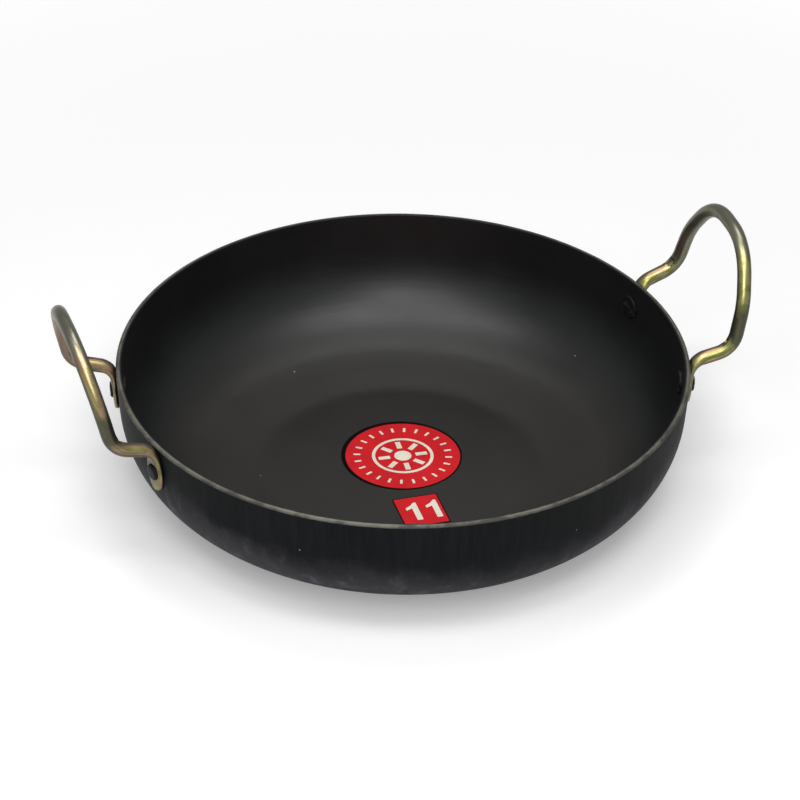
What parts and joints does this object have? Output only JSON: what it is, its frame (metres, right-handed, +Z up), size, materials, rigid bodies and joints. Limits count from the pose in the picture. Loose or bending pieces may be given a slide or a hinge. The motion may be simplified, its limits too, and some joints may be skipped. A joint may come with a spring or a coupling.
{
  "type": "kadai",
  "caption": "Deep round iron frying bowl with a flat base, gently dished floor and two upright rod loop handles riveted to its wall.",
  "frame": {"origin": "centre of the flat base, on the surface that the kadai stands on", "axes": "+Z up out of the bowl, X through the two handles, Y across them"},
  "size_m": [0.342, 0.28, 0.1198],
  "materials": {
    "bowl_black": "matt black coating, bare cut edge at the rim",
    "handle_zinc": "bright yellow-passivated zinc plating",
    "rivet_black": "matt black coating",
    "sticker_red": "satin printed film"
  },
  "bodies": {
    "root": {"bowl": "bowl_black", "right_handle": "handle_zinc", "left_handle": "handle_zinc", "right_back_rivet": "rivet_black", "left_back_rivet": "rivet_black", "left_front_rivet": "rivet_black", "right_front_rivet": "rivet_black", "round_sticker": "sticker_red", "size_sticker": "sticker_red"}
  },
  "joints": []
}
